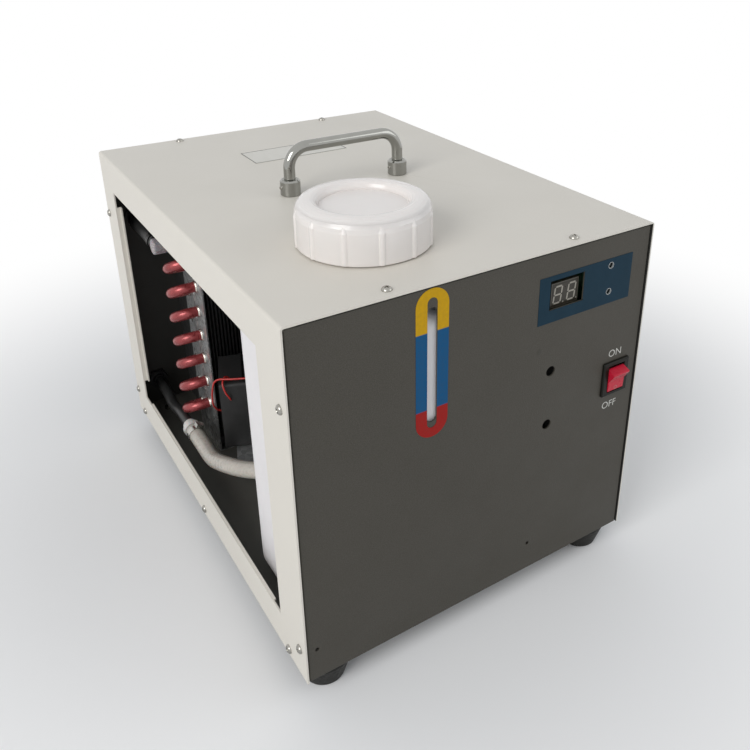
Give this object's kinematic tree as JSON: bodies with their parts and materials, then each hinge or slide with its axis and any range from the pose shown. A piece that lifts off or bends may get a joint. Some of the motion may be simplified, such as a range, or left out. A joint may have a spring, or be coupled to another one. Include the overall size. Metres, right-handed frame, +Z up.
{
  "type": "water chiller",
  "caption": "Bench-top water cooler: sheet-metal casing with a side window, carrying handle, filler cap, level slot, display, switch, tank, pump, finned coil and rear fan.",
  "frame": {"origin": "centre of the footprint, on the plane the four feet stand on", "axes": "+Z up, +Y towards the rear panel with the fan, +X towards the side with the switch; the front panel faces -Y and the side window faces -X"},
  "size_m": [0.2984, 0.4322, 0.3405],
  "materials": {
    "cover_paint": "fine powder coat, warm off-white",
    "panel_paint": "fine powder coat, dark grey",
    "galvanised": "galvanised sheet, faint grain",
    "bright_steel": "bright zinc plate",
    "chrome_plate": "polished plate",
    "black_rubber": "matt moulded rubber",
    "seal_rubber": "soft grey seal",
    "foam": "dense foam pad",
    "tank_plastic": "blow-moulded polyethylene",
    "cap_plastic": "translucent white polyethylene",
    "sticker_ring": "printed film in three colour bands",
    "label_blue": "printed film, dark blue",
    "label_pale": "printed film, pale with a thin border",
    "display_black": "moulded, matt",
    "display_pane": "smoked pane, smooth",
    "led_lens": "diffused lens",
    "board_green": "coated circuit board",
    "part_black": "moulded, matt",
    "switch_black": "moulded, satin",
    "switch_red": "moulded, glossy",
    "terminal_brass": "stamped",
    "copper": "drawn copper tube, lightly oxidised",
    "fin_black": "black coated fins",
    "hose_clear": "milky silicone, satin",
    "hose_black": "smooth black tube",
    "fitting_black": "moulded, satin",
    "fitting_milky": "translucent moulded elbow",
    "fitting_white": "moulded, satin",
    "supply_can": "folded and perforated can",
    "lead_red": "insulated wire",
    "guard_wire": "plated wire"
  },
  "bodies": {
    "casing": {"base_pan": "panel_paint", "board_parts": "part_black", "board_posts": "bright_steel", "coil_elbows": "fitting_milky", "condenser_coil": "copper", "condenser_fins": "fin_black", "controller_board": "board_green", "cover": "cover_paint", "cover_screws": "bright_steel", "display_module": "display_black", "display_pane": "display_pane", "display_sticker": "label_blue", "drain_hose": "hose_clear", "drain_spigot": "fitting_black", "drain_tube": "hose_black", "end_plate_left": "galvanised", "end_plate_right": "galvanised", "fan_frame": "part_black", "fan_guard": "guard_wire", "fan_screws": "bright_steel", "fan_shroud": "fin_black", "foot_front_left": "black_rubber", "foot_front_right": "black_rubber", "foot_rear_left": "black_rubber", "foot_rear_right": "black_rubber", "foot_screws": "bright_steel", "front_panel": "panel_paint", "handle_bar": "chrome_plate", "handle_bolts": "bright_steel", "handle_ferrules": "chrome_plate", "handle_set_screws": "bright_steel", "hose_clamps": "bright_steel", "hose_coupling": "fitting_white", "indicator_leds": "led_lens", "inlet_hose": "hose_clear", "inlet_spigot": "fitting_black", "level_sticker": "sticker_ring", "outlet_hose": "hose_clear", "outlet_spigot": "fitting_black", "power_inlet": "part_black", "power_supply": "supply_can", "pump_head": "fitting_black", "pump_leads": "lead_red", "pump_motor": "part_black", "pump_shelf": "galvanised", "rear_panel": "panel_paint", "return_hose": "hose_clear", "spigot_nuts": "fitting_black", "suction_hose": "hose_clear", "supply_terminals": "part_black", "switch_housing": "switch_black", "switch_terminals": "terminal_brass", "tank_pad": "foam", "tank_spouts": "fitting_white", "top_sticker": "label_pale", "water_tank": "tank_plastic"},
    "cap_seal": {"cap_liner": "seal_rubber"},
    "cap": {"tank_cap": "cap_plastic"},
    "rocker": {"switch_rocker": "switch_red"},
    "rotor": {"fan_rotor": "part_black"}
  },
  "joints": [
    {"name": "cap_lift", "type": "slide", "parent": "casing", "child": "cap_seal", "axis": [0, 0, 1], "range_m": [0, 0.0091]},
    {"name": "cap_turn", "type": "hinge", "parent": "cap_seal", "child": "cap", "pos_m": [-0.047, -0.12541, 0.312], "axis": [0, 0, 1], "range_deg": [0, 540]},
    {"name": "switch_rock", "type": "hinge", "parent": "casing", "child": "rocker", "pos_m": [0.1233, -0.20691, 0.1758], "axis": [-1, 0, 0], "range_deg": [0, 37]},
    {"name": "fan_spin", "type": "hinge", "parent": "casing", "child": "rotor", "pos_m": [0, 0.16809, 0.1464], "axis": [0, 1, 0], "continuous": true}
  ],
  "couplings": [
    {"joint": "cap_lift", "follows": "cap_turn", "m_per_rad": 0.00095493}
  ]
}
